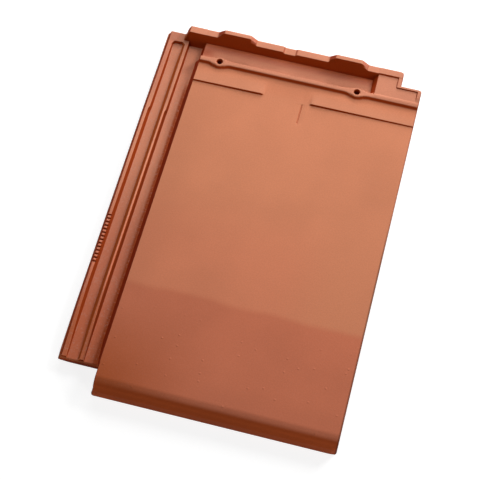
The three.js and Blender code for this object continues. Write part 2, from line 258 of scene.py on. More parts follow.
def ledgeRise(x, y):
    ledge = tile["ledge"]
    line = ledge["line"] + ledgeTurn(x)
    onLeft = x < 0
    inside = np.where(onLeft, ledge["leftEnd"] - x, x - ledge["rightEnd"])
    length = np.where(onLeft, ledge["leftEnd"] - faceEdge(y), right - ledge["rightEnd"])
    outer = np.where(onLeft, ledge["riseLeft"], ledge["riseRight"])
    rise = ledge["riseInner"] + (outer - ledge["riseInner"]) * np.clip(inside / length, 0, 1)
    rise = rise * smoothStep(inside / (ledge["endRun"] + beyond(y - line)) + ledge["endShare"])
    fading = np.clip((ledge["gone"] - y) / (ledge["gone"] - line), 0, 1)
    return rise * fading * smoothStep((y - line) / ledge["run"] + 0.5)


def markDepth(x, y):
    mark = tile["mark"]
    across = np.clip(1 - (np.abs(x - mark["place"]) / mark["half"]) ** 2, 0, 1)
    fromTail = smoothStep((y - mark["tail"]) / mark["endRun"] + 0.5)
    toHead = smoothStep((mark["head"] - y) / mark["endRun"] + 0.5)
    return mark["deep"] * across * (fromTail * toHead)


def faceHeight(x, y):
    # flat, then bent down over the nose
    nose, radius = tile["nose"], tile["nose"]["radius"]
    angle = math.radians(nose["angle"])
    turned = np.clip(nose["start"] - y, 0, radius * math.sin(angle))
    drop = radius - np.sqrt(radius ** 2 - turned ** 2)
    bendEnd = nose["start"] - radius * math.sin(angle)
    bendDrop = radius * (1 - math.cos(angle))
    slope = (tile["face"] - bendDrop - nose["lip"]) / (bendEnd - tail)
    z = tile["face"] - drop - beyond(bendEnd - y) * slope
    return z + ledgeRise(x, y) - markDepth(x, y)


def stripHeight(x, y):
    strip, swell, blend = tile["strip"], tile["swell"], tile["blend"]
    wide = sum(smoothStep(1 - np.abs(x - place) / swell["half"]) for place in tile["hole"]["places"])
    tailFlank = (y - strip["tail"] + wide * swell["tailward"]) / strip["tailRun"]
    headFlank = (strip["head"] + wide * swell["headward"] - y) / strip["headRun"]
    flanks = smoothMin(tailFlank, headFlank, blend["stripFlanks"])
    return tile["stripTop"] + smoothMin(flanks, 0, blend["stripTop"])


def platformHeight(x, y):
    platform, border = tile["platform"], tile["border"]
    level = tile["stripTop"]
    z = smoothMin(level, level + (x - platform["left"]) / platform["draft"], tile["soft"])
    inside = np.maximum(y - border["head"], np.minimum(x - border["stepLeft"], y - border["stepTail"]))
    inside = np.maximum(inside, np.minimum(x - border["sideLeft"], y - border["sideTail"]))
    share = smoothStep(inside / border["run"] + 0.5) * smoothStep((y - border["from"]) / border["over"])
    z = z + (tile["rimTop"] - level) * share
    return np.where(y > platform["tail"], z, 0)


def rimHeight(x, y):
    rim, nib, gap, draft = tile["rim"], tile["nib"], tile["gap"], tile["draft"]
    level = tile["rimTop"]
    rise = tile["nibTop"] - level
    top = level + 0 * x
    for place in nib["places"]:
        out = np.abs(x - place) - nib["wide"] / 2
        fall = ramp(out, nib["soft"]) - ramp(out - nib["slope"], nib["soft"])
        top = top + rise - fall * rise / nib["slope"]
    out = gap["wide"] / 2 - np.abs(x - gap["place"])
    fall = ramp(out, gap["soft"]) - ramp(out - gap["slope"], gap["soft"])
    top = top - fall * gap["deep"] / gap["slope"]
    inner = level + (y - rim["inner"]) / draft
    side = level + (x - rim["left"]) / draft
    return smoothMin(smoothMin(top, inner, tile["blend"]["rimTop"]), side, tile["blend"]["rimTop"])


def ribHeight(x, y, names, top, leftRun):
    leftEdge, rightEdge, foot = (lockEdge(name, y) for name in names)
    rightRun = np.maximum(foot - rightEdge, tile["rib"]["leastReach"]) / (tile["ribTop"] - tile["lockFloor"])
    leftFlank = top + (x - leftEdge) / leftRun
    rightFlank = top + (rightEdge - x) / rightRun
    flanks = smoothMin(leftFlank, rightFlank, tile["blend"]["ribFlanks"])
    return smoothMin(flanks, top, tile["blend"]["ribTop"])


def notchHeight(x, y):
    notch = tile["notch"]
    z = math.inf
    for i in range(notch["count"]):
        away = y - (notch["first"] - i * notch["pitch"])
        flank = np.where(away > 0, away / notch["headReach"], -away / notch["tailReach"])
        z = np.minimum(z, tile["ribTop"] - notch["deep"] + notch["deep"] * flank)
    return np.where(x < left + notch["wide"], z, math.inf)


def landHeight(x, y):
    land, soft = tile["land"], tile["blend"]["ribTop"]
    level, floor, turn = tile["ribTop"], tile["lockFloor"], land["turn"]
    channelLeft, channelRight = lockEdge("outerFoot", y), lockEdge("middleStart", y)
    middle = (channelLeft + channelRight) / 2
    across = np.abs(x - middle) - (channelRight - channelLeft) / 2 + turn
    along = y - land["channelEnd"] + turn
    away = np.hypot(beyond(across), beyond(along)) - turn
    share = np.arctan2(beyond(along), np.maximum(across, 1e-6)) / (math.pi / 2)
    run = np.where(x < middle, land["leftRun"], land["rightRun"])
    z = np.where(along > 0, floor + away / (run + (land["headRun"] - run) * share), -math.inf)
    z = smoothMin(z, level, soft)
    z = smoothMin(z, level + (x - lockEdge("outerLeft", y)) / land["outerRun"], soft)
    return smoothMin(z, level + (lockEdge("middleRight", y) - x) / land["innerRun"], soft)


def channelFloor(x, y):
    # where one channel hands over to the other lies under the middle rib
    hollow, rise = tile["hollow"], tile["channelRise"]
    outer = np.clip(1 - (x - lockEdge("outerFoot", y)) / hollow["wide"], 0, 1)
    inner = np.clip(1 - (x - lockEdge("middleFoot", y)) / hollow["wide"], 0, 1)
    inner = inner * smoothStep((x - lockEdge("middleLeft", y)) / hollow["over"])
    risen = smoothStep((y - rise["from"]) / rise["over"])
    risen = risen * smoothStep((lockEdge("middleRight", y) - x) / rise["edge"])
    return tile["lockFloor"] + hollow["deep"] * outer ** 2 + hollow["deep"] * inner ** 2 + rise["by"] * risen


def lockHeight(x, y):
    rib, fall, blend = tile["rib"], tile["ribFall"], tile["blend"]
    top = tile["ribTop"] - fall["by"] * smoothStep((fall["from"] - y) / fall["over"])
    outer = ribHeight(x, y, ("outerLeft", "outerRight", "outerFoot"), top, rib["outerRun"])
    middle = ribHeight(x, y, ("middleLeft", "middleRight", "middleFoot"), top, rib["middleRun"])
    outer = np.minimum(outer, notchHeight(x, y))
    # the ribs stop just short of the tail edge
    end = tile["lockFloor"] + (y - rib["tailEnd"]) / rib["endRun"]
    ribs = smoothMin(smoothMax(outer, middle, blend["ribFlanks"]), end, blend["ribEnd"])
    return smoothMax(np.maximum(ribs, landHeight(x, y)), channelFloor(x, y), blend["channels"])


def topHeight(x, y):
    strip, rise, blend = tile["strip"], tile["headRise"], tile["blend"]
    floor = tile["headFloor"] + rise["by"] * smoothStep((rise["from"] - y) / rise["over"])
    z = np.where(y < (strip["tail"] + strip["head"]) / 2, faceHeight(x, y), floor)
    z = smoothMax(z, stripHeight(x, y), blend["stripFoot"])
    z = smoothMax(z, platformHeight(x, y), tile["soft"])
    # wall beside the side lock, laid back up to the face or the head channel and upright above
    past = x - faceEdge(y)
    wall = wallLevel(y) + np.where(past < 0, past / wallRun(y), past / tile["uprightRun"])
    walled = smoothMax(smoothMin(z, wall, blend["bodyTop"]), lockHeight(x, y), blend["bodyFoot"])
    z = np.where(y > tile["lockTail"] - tile["hair"], walled, z)
    return smoothMax(z, rimHeight(x, y), blend["rimFoot"])


def underHeight(x, y):
    plate, ribs, cover, hanging, nose = (
        tile[name] for name in ("plate", "underRib", "cover", "hanging", "nose"))
    level, blend = tile["underside"], tile["blend"]
    # flange of the side lock, plate and stiffening ribs
    z = np.clip(tile["lockBottom"] + (x - plate["left"]) / plate["run"], tile["lockBottom"], level) + 0 * y
    for place in ribs["places"]:
        side = beyond(np.abs(x - place) - ribs["half"])
        end = beyond(np.maximum(ribs["tail"] - y, y - ribs["head"]))
        z = smoothMin(z, level - ribs["deep"] + np.maximum(side, end) * ribs["slope"], blend["underRib"])
    # recess over the next tile's side lock
    roof = tile["ribTop"] + cover["clear"] + 0 * x
    for place in cover["ribs"]:
        out = beyond(np.abs(x - place) - cover["ribHalf"])
        roof = np.minimum(roof, cover["ribLevel"] + out * cover["ribSlope"])
    roof = np.minimum(roof, level + beyond(x - cover["left"]) * cover["slope"])
    roof = np.minimum(roof, level + beyond(y - cover["tail"]) * cover["slope"])
    z = np.where((x > cover["left"]) & (y > cover["tail"]), roof, z)
    for place in tile["nib"]["places"]:
        side = beyond(np.abs(x - place) - hanging["half"]) / hanging["sideRun"]
        front = beyond(hanging["tail"] - y) / hanging["tailRun"]
        back = beyond(y - hanging["head"]) * hanging["headSlope"]
        z = smoothMin(z, np.maximum(np.maximum(side, front), back), blend["hanging"])
    return smoothMin(z, beyond(y - (tail + nose["sole"])) * nose["backSlope"], blend["sole"])


def gridLines(fixed, near, widest):
    # fixed places are kept as they are, others gather near features, and wide gaps are filled
    kept = sorted(set(fixed))
    first, last = kept[0], kept[-1]
    for place, reach, steps in near:
        for i in range(-steps, steps + 1):
            line = place + reach * i / steps
            if first < line < last and min(abs(line - other) for other in kept) > tile["grid"]["nearest"]:
                kept.append(line)
    kept.sort()
    filled = [kept[0]]
    for line in kept[1:]:
        start = filled[-1]
        count = max(1, math.ceil((line - start) / widest - 0.01))
        filled += [start + (line - start) * (i + 1) / count for i in range(count)]
    return np.array(filled)


def both(place, *offsets):
    # the same distances to either side
    return [place + side * offset for side in (-1, 1) for offset in offsets]


def inward(place, side):
    # lines that follow a rounded outer edge
    return [place + side * tile["arris"] * share for share in tile["grid"]["edgeShares"]]


def anchors(y):
    # what the grid's lines follow as the side lock bows and leans
    places = {name: float(lockEdge(name, y)) for name in tile["lockEdges"]}
    places["wallFoot"] = float(wallFoot(y))
    places["faceEdge"] = float(faceEdge(y))
    places["straight"] = tile["grid"]["straight"]
    places["right"] = right
    return places


# Lines of the four grids. Each entry of near is a place, how far lines gather to either side of it,
# and in how many steps.
def topAcross():
    rim, nib, gap, hole, border, platform, ledge = (
        tile[name] for name in ("rim", "nib", "gap", "hole", "border", "platform", "ledge"))
    at = anchors(0.0)
    stepX = tile["step"][0]
    fixed = [at["edge"], right, at["faceEdge"], stepX, rim["notch"]]
    fixed += [line for place in hole["places"] for line in both(place, hole["radius"], hole["mouth"])]
    fixed += inward(at["edge"], 1) + inward(right, -1) + inward(at["faceEdge"], 1)
    near = [(stepX, tile["arris"], 4), (rim["notch"], tile["arris"], 3)]
    ribLines = ("outerLeft", "outerRight", "outerFoot", "middleLeft", "middleRight", "middleFoot")
    near += [(at[name], 0.5, 2) for name in ribLines]
    near += [(at["middleStart"], 0.8, 2), (at["wallFoot"], 1.2, 3), (at["faceEdge"] - 0.4, 1.2, 4)]
    near += [(rim["left"], 1.0, 3)]
    half = nib["wide"] / 2
    for place in nib["places"]:
        near += [(line, nib["soft"], 2) for line in both(place, half, half + nib["slope"])]
    # channels, and the right ends of the notches
    near += [(at["outerFoot"] + 1.8, 2.1, 3), (at["middleFoot"] + 1.8, 2.1, 3)]
    near += [(at["middleStart"] - 1.5, 1.8, 3)]
    near += [(line, 0, 1) for line in both(left + tile["notch"]["wide"], 0.1)]
    half = gap["wide"] / 2
    near += [(line, gap["soft"], 1) for line in both(gap["place"], half, half - gap["slope"])]
    platformFoot = platform["left"] - (tile["stripTop"] - tile["headFloor"]) * platform["draft"]
    near += [(platform["left"], 0.8, 2), (platformFoot, 0.8, 1)]
    near += [(border["stepLeft"], 0.55, 2), (border["sideLeft"], 0.55, 2), (tile["mark"]["place"], 0.9, 3)]
    near += [(ledge["leftEnd"] + 1.0, 2.5, 2), (ledge["rightEnd"] - 1.0, 2.5, 2)]
    near += [(place, tile["swell"]["half"], 7) for place in hole["places"]]
    near += [(place, 3.0, 3) for place in hole["places"]]
    return gridLines(fixed, near, tile["grid"]["widest"])


def topAlong():
    strip, rim, hole, border, nose, notch = (
        tile[name] for name in ("strip", "rim", "hole", "border", "nose", "notch"))
    arris, stepY, lockTail, lockHead = tile["arris"], tile["step"][1], tile["lockTail"], tile["lockHead"]
    fixed = [tail, head, lockTail, lockHead, stepY, *both(hole["line"], hole["radius"], hole["mouth"])]
    fixed += inward(tail, 1) + inward(head, -1) + inward(lockTail, 1)
    near = [(stepY, arris, 4), (lockHead, arris, 3), (tile["rib"]["tailEnd"] + 0.5, 0.9, 4)]
    near += [(lockTail + 2.6, 0.8, 2), (strip["head"] + 0.6, 1.0, 1), (strip["head"] + 4.6, 2.0, 2)]
    near += [(nose["start"] - 6, 7.5, 8), (nose["start"] - 11.5, 1.5, 2)]
    # both flanks of each notch, and its foot
    tailReach, headReach = notch["tailReach"], notch["headReach"]
    reaches = (-tailReach, -tailReach / 2, 0.0, 0.18, headReach - 0.18, headReach)
    for i in range(notch["count"]):
        near += [(notch["first"] - i * notch["pitch"] + reach, 0, 1) for reach in reaches]
    ribsStraighten = (tile["lockPlaces"][3] + tile["lockPlaces"][4]) / 2
    near += [(ribsStraighten, 3.0, 3), (tile["ledge"]["line"], 0.9, 4)]
    near += [(tile["mark"]["tail"], 1.0, 1), (tile["mark"]["head"], 1.0, 1), (hole["line"], 9.5, 15)]
    near += [(tile["land"]["channelEnd"] - 1.2, 2.4, 5), (border["stepTail"], 0.55, 2)]
    near += [(border["sideTail"], 0.55, 2), (border["head"], 0.45, 2)]
    # inner wall of the rim
    near += [(rim["inner"], 1.2, 3), (rim["inner"] - 4.05, 1.2, 2), (rim["inner"] - 7.4, 0.8, 2)]
    near += [(head - 10.75, 1.0, 1)]
    return gridLines(fixed, near, tile["grid"]["widest"])


def underAcross(noseFoot):
    hole, ribs, cover, hanging = (tile[name] for name in ("hole", "underRib", "cover", "hanging"))
    edge = anchors(0.0)["edge"]
    fixed = [edge, right, noseFoot, tile["step"][0], tile["rim"]["notch"]]
    fixed += [line for place in hole["places"] for line in both(place, hole["radius"])]
    near = [(noseFoot, 0.9, 3), (noseFoot + 2.3, 0.7, 1), (tile["plate"]["left"] + 0.5, 1.6, 4)]
    near += [(cover["left"], 1.6, 3), (edge + 0.5, 0.5, 2), (right - 0.5, 0.5, 2)]
    foot = ribs["half"] + ribs["deep"] / ribs["slope"]
    near += [(line, 0.4, 1) for place in ribs["places"] for line in both(place, ribs["half"], foot)]
    foot = cover["ribHalf"] + (tile["ribTop"] + cover["clear"] - cover["ribLevel"]) / cover["ribSlope"]
    near += [(line, 0.3, 1) for place in cover["ribs"] for line in both(place, cover["ribHalf"], foot)]
    flanks = [hanging["half"] + out for out in (-0.4, 0.0, 0.4, 0.9, 1.4)]
    near += [(line, 0, 1) for place in tile["nib"]["places"] for line in both(place, *flanks)]
    return gridLines(fixed, near, tile["grid"]["widestUnder"])


def underAlong():
    hole, ribs, nose, hanging = (tile[name] for name in ("hole", "underRib", "nose", "hanging"))
    lockTail = tile["lockTail"]
    fixed = [tail, head, lockTail, tile["lockHead"], tile["step"][1], *both(hole["line"], hole["radius"])]
    fixed += [tail + inside for inside in (0.2, 0.6, 1.0, 2.0, 3.0)]
    fixed += [head - inside for inside in (0.2, 0.6, 1.0)]
    near = [(tail + nose["sole"], 0.6, 2), (tail + nose["backFoot"], 0.6, 2), (tile["cover"]["tail"], 1.5, 4)]
    near += [(ribs["tail"], 1.6, 3), (ribs["head"], 1.6, 3), (hanging["tail"] - 0.3, 0.9, 5)]
    foot = hanging["head"] + tile["underside"] / hanging["headSlope"]
    near += [(hanging["head"], 0.8, 2), (foot, 0.8, 2), (lockTail + 0.5, 0.5, 2)]
    return gridLines(fixed, near, tile["grid"]["widestUnder"])


def edgeDistance(x, y, noseLeft):
    # how far a point is inside the outline
    def corner(a, b):
        return np.hypot(beyond(a), beyond(b))

    stepX, stepY = tile["step"]
    sides = [x - lockEdge("edge", y), right - x, y - tail, head - y]
    sides += [corner(stepX - x, stepY - y), corner(x - tile["rim"]["notch"], tile["lockHead"] - y)]
    sides += [corner(x - noseLeft, y - tile["lockTail"])]
    return np.minimum.reduce(sides)


def turnCorners(x, y, noseLeft):
    radii = tile["corners"]
    stepX, stepY = tile["step"]
    corners = (
        (float(lockEdge("edge", tail)), tile["lockTail"], 1, 1, radii["lockTail"]),
        (noseLeft, tail, 1, 1, radii["noseLeft"]),
        (right, tail, -1, 1, radii["noseRight"]),
        (right, stepY, -1, -1, radii["step"]),
        (stepX, head, -1, -1, radii["step"]),
        (tile["rim"]["notch"], head, 1, -1, radii["rimLeft"]),
        (float(lockEdge("edge", head)), tile["lockHead"], 1, -1, radii["lockHead"]),
    )
    for cornerX, cornerY, toX, toY, radius in corners:
        # squares round a corner's centre become circles
        u = (cornerX + toX * radius - x) * toX / radius
        v = (cornerY + toY * radius - y) * toY / radius
        inside = (u > 0) & (v > 0) & (u < 1.001) & (v < 1.001)
        scale = np.where(inside, np.maximum(u, v) / np.maximum(np.hypot(u, v), 1e-9), 1.0)
        x = np.where(inside, cornerX + toX * radius * (1 - u * scale), x)
        y = np.where(inside, cornerY + toY * radius * (1 - v * scale), y)
    return x, y


def turnHoles(x, y):
    # so do the squares round a nail hole, and farther out they stay square
    rings, over = tile["grid"]["holeRings"], tile["grid"]["holeOver"]
    line = tile["hole"]["line"]
    for place in tile["hole"]["places"]:
        across, along = x - place, y - line
        reach = np.maximum(np.abs(across), np.abs(along))
        share = 1 - smoothStep((reach - rings) / over)
        scale = 1 + share * (reach / np.maximum(np.hypot(across, along), 1e-9) - 1)
        x, y = place + across * scale, line + along * scale
    return x, y


def arrisRadius(x, y):
    lock, tailEnd = tile["lockArris"], tile["tailArris"]
    atTail = smoothStep((tile["lockTail"] + tailEnd["from"] - y) / tailEnd["over"])
    return np.where(x < tile["lockRight"], lock + (tailEnd["radius"] - lock) * atTail, tile["arris"])


def surface(xLines, yLines, noseLeft, onTop):
    # one side of the tile as a grid of points, with its edges rounded
    def stops(y):
        return list(anchors(y).values()) if onTop else [float(lockEdge("edge", y)), noseLeft, right]

    grid, hole = tile["grid"], tile["hole"]
    x = np.array([np.interp(xLines, stops(0.0), stops(y)) for y in yLines]).T
    y = np.tile(yLines, (len(xLines), 1))
    away = np.abs(y - tile["ledge"]["line"])
    y = y + ledgeTurn(x) * smoothStep((grid["ledgeRows"] - away) / grid["ledgeOver"])
    distance = edgeDistance(x, y, noseLeft)
    x, y = turnCorners(x, y, noseLeft)
    x, y = turnHoles(x, y)
    radius = arrisRadius(x, y) if onTop else tile["arris"] * tile["underArris"]
    rounding = radius - np.sqrt(radius ** 2 - (radius - np.clip(distance, 0, radius)) ** 2)
    if onTop:
        z = topHeight(x, y) - rounding
        for place in hole["places"]:
            away = np.hypot(x - place, y - hole["line"])
            z = z - np.clip((hole["mouth"] - away) / (hole["mouth"] - hole["radius"]), 0, 1)
    else:
        z = underHeight(x, y) + rounding
    return np.stack([x, y, z], axis=-1)


def indexOf(lines, place):
    return int(np.argmin(np.abs(lines - place)))


def gridPlaces(xLines, yLines, noseLine):
    # numbers of the lines on which the outline turns
    stepX, stepY = tile["step"]
    across = {"nose": noseLine, "step": stepX, "rim": tile["rim"]["notch"], "right": right}
    along = {"lockTail": tile["lockTail"], "stepRow": stepY, "lockHead": tile["lockHead"], "head": head}
    at = {name: indexOf(xLines, place) for name, place in across.items()}
    at.update({name: indexOf(yLines, place) for name, place in along.items()})
    return at


def outlineStops(at):
    # corners of the outline, counter-clockwise from the tail end of the side lock
    return [
        (0, at["lockTail"]), (at["nose"], at["lockTail"]), (at["nose"], 0), (at["right"], 0),
        (at["right"], at["stepRow"]), (at["step"], at["stepRow"]), (at["step"], at["head"]),
        (at["rim"], at["head"]), (at["rim"], at["lockHead"]), (0, at["lockHead"]),
    ]


def holeStops(xLines, yLines, place):
    hole = tile["hole"]
    first, last = (indexOf(xLines, line) for line in both(place, hole["radius"]))
    tailRow, headRow = (indexOf(yLines, line) for line in both(hole["line"], hole["radius"]))
    return [(first, tailRow), (first, headRow), (last, headRow), (last, tailRow)]


def runsBetween(stops):
    # grid points from each stop to the next, and back to the first
    runs = []
    for (i0, j0), (i1, j1) in zip(stops, stops[1:] + stops[:1]):
        steps = max(abs(i1 - i0), abs(j1 - j0))
        runs.append([(i0 + (i1 - i0) * s // steps, j0 + (j1 - j0) * s // steps) for s in range(steps + 1)])
    return runs


def keptCells(xLines, yLines, at, holes):
    keep = np.ones((len(xLines) - 1, len(yLines) - 1), bool)
    keep[:at["nose"], :at["lockTail"]] = False
    keep[at["step"]:, at["stepRow"]:] = False
    keep[:at["rim"], at["lockHead"]:] = False
    for (first, tailRow), _, (last, headRow), _ in holes:
        keep[first:last, tailRow:headRow] = False
    return keep


def tileSide(xLines, yLines, noseLine, noseLeft, onTop):
    # points and faces of one side, and the runs of points along its edges
    at = gridPlaces(xLines, yLines, noseLine)
    holes = [holeStops(xLines, yLines, place) for place in tile["hole"]["places"]]
    keep = keptCells(xLines, yLines, at, holes)
    number = np.arange(len(xLines) * len(yLines)).reshape(len(xLines), len(yLines))
    corners = [number[:-1, :-1], number[1:, :-1], number[1:, 1:], number[:-1, 1:]]
    if not onTop:
        corners = [corners[k] for k in (0, 3, 2, 1)]
    quads = np.stack([corner[keep] for corner in corners], axis=-1)
    runs = [run for stops in [outlineStops(at), *holes] for run in runsBetween(stops)]
    runs = [[int(number[p]) for p in run] for run in runs]
    return surface(xLines, yLines, noseLeft, onTop).reshape(-1, 3), quads, runs


def zipSides(points, upper, lower):
    # triangles between two runs of points, each time across the shorter gap
    def gap(a, b):
        return math.dist(points[a], points[b])

    faces = []
    i = j = 0
    while i < len(upper) - 1 or j < len(lower) - 1:
        onUpper = i < len(upper) - 1 and (
            j == len(lower) - 1 or gap(upper[i + 1], lower[j]) <= gap(upper[i], lower[j + 1]))
        if onUpper:
            faces.append((upper[i], lower[j], upper[i + 1]))
            i += 1
        else:
            faces.append((upper[i], lower[j], lower[j + 1]))
            j += 1
    return faces


def tileMesh():
    noseFoot = tile["nose"]["left"] - tile["nose"]["draft"] * tile["face"]
    topX, topY, underX, underY = topAcross(), topAlong(), underAcross(noseFoot), underAlong()
    print("grid", len(topX), "x", len(topY), "under", len(underX), "x", len(underY))
    points, quads, upperRuns = tileSide(topX, topY, float(faceEdge(0.0)), float(faceEdge(tail)), True)
    underPoints, underQuads, lowerRuns = tileSide(underX, underY, noseFoot, noseFoot, False)
    offset = len(points)
    points = np.concatenate([points, underPoints])
    faces = quads.tolist() + (underQuads + offset).tolist()
    for upper, lower in zip(upperRuns, lowerRuns):
        faces += zipSides(points, upper, [offset + p for p in lower])

    used = np.unique(np.concatenate([np.array(face) for face in faces]))
    number = np.zeros(len(points), int)
    number[used] = np.arange(len(used))
    mesh = bpy.data.meshes.new("roof_tile_clay")
    mesh.from_pydata((points[used] / 1000).tolist(), [], [[int(number[v]) for v in face] for face in faces])
    mesh.validate()
    mesh.shade_smooth()
    return mesh


piece = bpy.data.objects.new("roof_tile_clay", tileMesh())
bpy.context.scene.collection.objects.link(piece)
level = piece.modifiers.new("level", "WEIGHTED_NORMAL")
level.mode = "FACE_AREA"
level.weight = 80
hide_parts("roof_tile")
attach(piece, "root")


def hexColour(code):
    parts = [int(code[i:i + 2], 16) / 255 for i in (1, 3, 5)]
    return tuple(c / 12.92 if c <= 0.04045 else ((c + 0.055) / 1.055) ** 2.4 for c in parts) + (1.0,)


def addNode(tree, kind, settings=None, inputs=None, output=None):
    # inputs go by name or number; gives back the node, or one of its outputs
    node = tree.nodes.new(kind)
    for name, value in (settings or {}).items():
        setattr(node, name, value)
    for name, value in (inputs or {}).items():
        if isinstance(value, bpy.types.NodeSocket):
            tree.links.new(value, node.inputs[name])
        else:
            node.inputs[name].default_value = value
    return node if output is None else node.outputs[output]


print("fired clay")

# Terracotta, pressed in moulds and fired unglazed. Orange-red and matt: paler and slightly chalky where the
# surface lies flat, which is partly painted sheen, and much deeper on the walls, which is partly painted
# shade.
# Tones, painted shades and wall tones each cover a stretch, which is where all their axes agree: an axis,
# where it starts and where it is full, in mm. "band" is y with a wavering edge, and toRight and toHead say
# which way the surface faces.
clayLook = {
    "face": "#C57B59",
    "tones": (
        # middle of the face, lighter: painted light where the lamps' light falls off
        ("#CA7A59", (("y", 50, -60), ("x", 120, 40))),
        # under the strip
        ("#C57957", (("y", 158, 168),)),
        # behind the ledges
        ("#BE7858", (("y", 158, 160), ("z", 24.2, 25.2))),
        # tail band: painted, where the sheen above it ends at a wavering edge; its left end: painted shade
        ("#C06D4F", (("band", -93, -103),)),
        ("#A9522A", (("x", 20, -115), ("y", -112, -230))),
        # side lock, then darker on its tail half, tail end and rib crests there: painted shade
        ("#C37D60", (("x", -102.5, -105.5),)),
        ("#C27053", (("x", -102.5, -105.5), ("y", 60, -100))),
        ("#BC6545", (("x", -102.5, -105.5), ("y", -105, -165))),
        ("#BB6340", (("x", -102.5, -105.5), ("y", -115, -150), ("z", 13.4, 14.2))),
        # strip, platform and rim
        ("#C37D60", (("y", 183, 187),)),
        # head end of the outer rib
        ("#BF755A", (("x", -133, -135), ("y", 130, 150), ("z", 15.5, 16.3))),
        # left end of the head channel, darker: painted shade from the rim
        ("#A8593F", (("x", -82, -99), ("x", -103.8, -102.6), ("y", 192, 201), ("z", 24, 22))),
        # floor towards the rim: painted shadow of the rim; right against it: painted bounce light
        ("#B96A50", (("y", 202, 210), ("z", 20.6, 20.0), ("x", -103.5, -101.5))),
        ("#D7734C", (("y", 209, 214), ("z", 20.6, 20.0), ("x", -103.5, -101.5))),
        # foot of the body wall, darker: painted shadow of the wall
        ("#A54A24", (("x", -113.4, -110.4), ("x", -104.0, -106.0), ("z", 14.5, 13.5), ("y", 172, 140))),
    ),
    # how much lighter or darker some parts are made: mostly painted light and shade
    "paintedShades": (
        # painted highlights on the rib crests, the middle one, and its middle stretch
        (1.13, (("z", 16.1, 16.7), ("x", -133, -135), ("y", -125, -95), ("y", 135, 110))),
        (1.27, (("z", 16.1, 16.7), ("x", -133, -131), ("x", -104.5, -106.5),
                ("y", -125, -95), ("y", 135, 110))),
        (1.13, (("z", 16.1, 16.7), ("x", -133, -131), ("x", -104.5, -106.5),
                ("y", -125, -95), ("y", 80, 40))),
        # painted shade on the right flank of the middle rib, and painted light on its left flank
        (0.74, (("z", 12.4, 13.0), ("x", -123.4, -122.6), ("x", -119.4, -120.2), ("y", 140, 110))),
        (1.28, (("x", -129.2, -128.4), ("x", -125.2, -126.0), ("z", 12.1, 12.8), ("z", 16.7, 16.2))),
        # painted shade on the land at the head end
        (0.82, (("y", 207, 212), ("z", 14, 16), ("x", -122, -124))),
        # platform
        (0.93, (("x", 97, 99), ("y", 192, 193))),
        # painted shade on the body wall
        (0.84, (("x", -109, -108), ("x", -102.4, -103.6), ("y", 180, 160), ("z", 12.3, 13.5))),
        # painted shade on the outer edge of the side lock, and on its tail face
        (0.7, (("x", -147.6, -148.8),)),
        (0.65, (("x", -103.5, -104.5), ("y", -199.9, -200.4), ("z", 10.5, 8.0))),
        # painted shade on the right edge, deeper on its tail half
        (0.8, (("x", 147.4, 148.4),)),
        (0.55, (("x", 146.6, 148.0), ("y", 60, -20))),
        # painted sheen on the bend of the nose, a painted highlight at the left end of its lower edge,
        # painted shade below
        (1.1, (("y", -211, -214), ("z", 16.5, 18.5), ("z", 23.9, 23.0))),
        (1.35, (("y", -226.4, -227.2), ("z", 3.0, 4.0), ("z", 6.4, 5.2), ("x", -60, -95))),
        (0.9, (("y", -205, -212), ("z", 15, 11))),
        # patch on the face, and painted shade on the right half of its tail end and along its left edge
        (1.05, (("y", -40, -5), ("y", 70, 35), ("x", -90, -50), ("x", 110, 70))),
        (0.93, (("y", -185, -208), ("x", -40, 40))),
        (0.95, (("x", -60, -102), ("x", -104, -102), ("z", 22, 23))),
        # painted light on the floor of the inner channel, against the body wall's shadow there
        (1.13, (("z", 13.6, 12.8), ("x", -104, -106), ("x", -122.5, -120.5))),
    ),
    # deep colour of the walls: partly their own, partly painted shade
    "wall": "#953404",
    # where walls differ: mostly painted light and shade, by which way they face
    "walls": (
        # nose
        ("#9F451C", (("y", -205, -212),)),
        # walls that face the head, lighter: painted light from the lamps there
        ("#8E4A2D", (("toHead", 0.25, 0.65),)),
        # right flanks of the ribs, darker: painted shade; the left one of the middle rib, lighter: painted
        # light
        ("#8A3204", (("toRight", 0.2, 0.5), ("z", 18, 17))),
        ("#9D4A1C", (("toRight", -0.2, -0.5), ("x", -132, -131), ("x", -125, -126))),
        # outer wall of the side lock, darker: painted shade; its tail arris, lighter: painted light
        ("#8A2A00", (("x", -146.8, -147.8),)),
        ("#B8643C", (("toHead", -0.93, -0.8), ("x", -103.5, -104.5), ("y", -197, -198.4))),
        # body wall, darker: painted shade
        ("#8B2800", (("x", -109.5, -108.5), ("x", -102.4, -103.6), ("z", 12.2, 13.2),
                     ("toHead", -0.6, -0.3), ("toHead", 0.6, 0.3))),
        # right and left flanks of the nibs: painted light on the right ones, painted shade on the left ones
        ("#BC6B52", (("toRight", 0.3, 0.55), ("z", 28.9, 29.8))),
        ("#8A2A00", (("toRight", -0.3, -0.55), ("z", 28.9, 29.8))),
    ),
    "steep": (0.965, 0.74),     # how upright the normal is where walls start, and where they are full
    "ior": 1.5,
    "roughness": 0.74,
    "specular": 0.1,            # the pores of unglazed clay take most of the usual shine
    "patch": 85.0,              # sizes in mm: soft patches in tone
    "patchTones": (0.95, 1.05),
    "wobble": 70.0,             # waves in the edge of the tail band, and how deep they are
    "wobbleDepth": 12.0,
    "speckle": "#B98C7C",       # greyish specks, fewer on the body and more in the side lock
    "speck": 2.2,
    "speckLevels": (0.52, 0.68),
    "speckShares": (0.06, 0.32),
    "lockFrom": (-102.5, -105.5),
    "grain": 1.4,               # the real grain is about 0.2 mm, too fine to show
    "grainTones": (0.96, 1.04),
    "grainDepth": 0.05,
    "pimple": 16.0,             # spacing of the pimples near the tail
    "pimpleShare": 0.26,        # of the places that have one
    "pimpleRadius": 0.1,        # as a share of the spacing
    "pimpleDepth": 0.25,
    "pimples": (("y", -110, -150),),
}


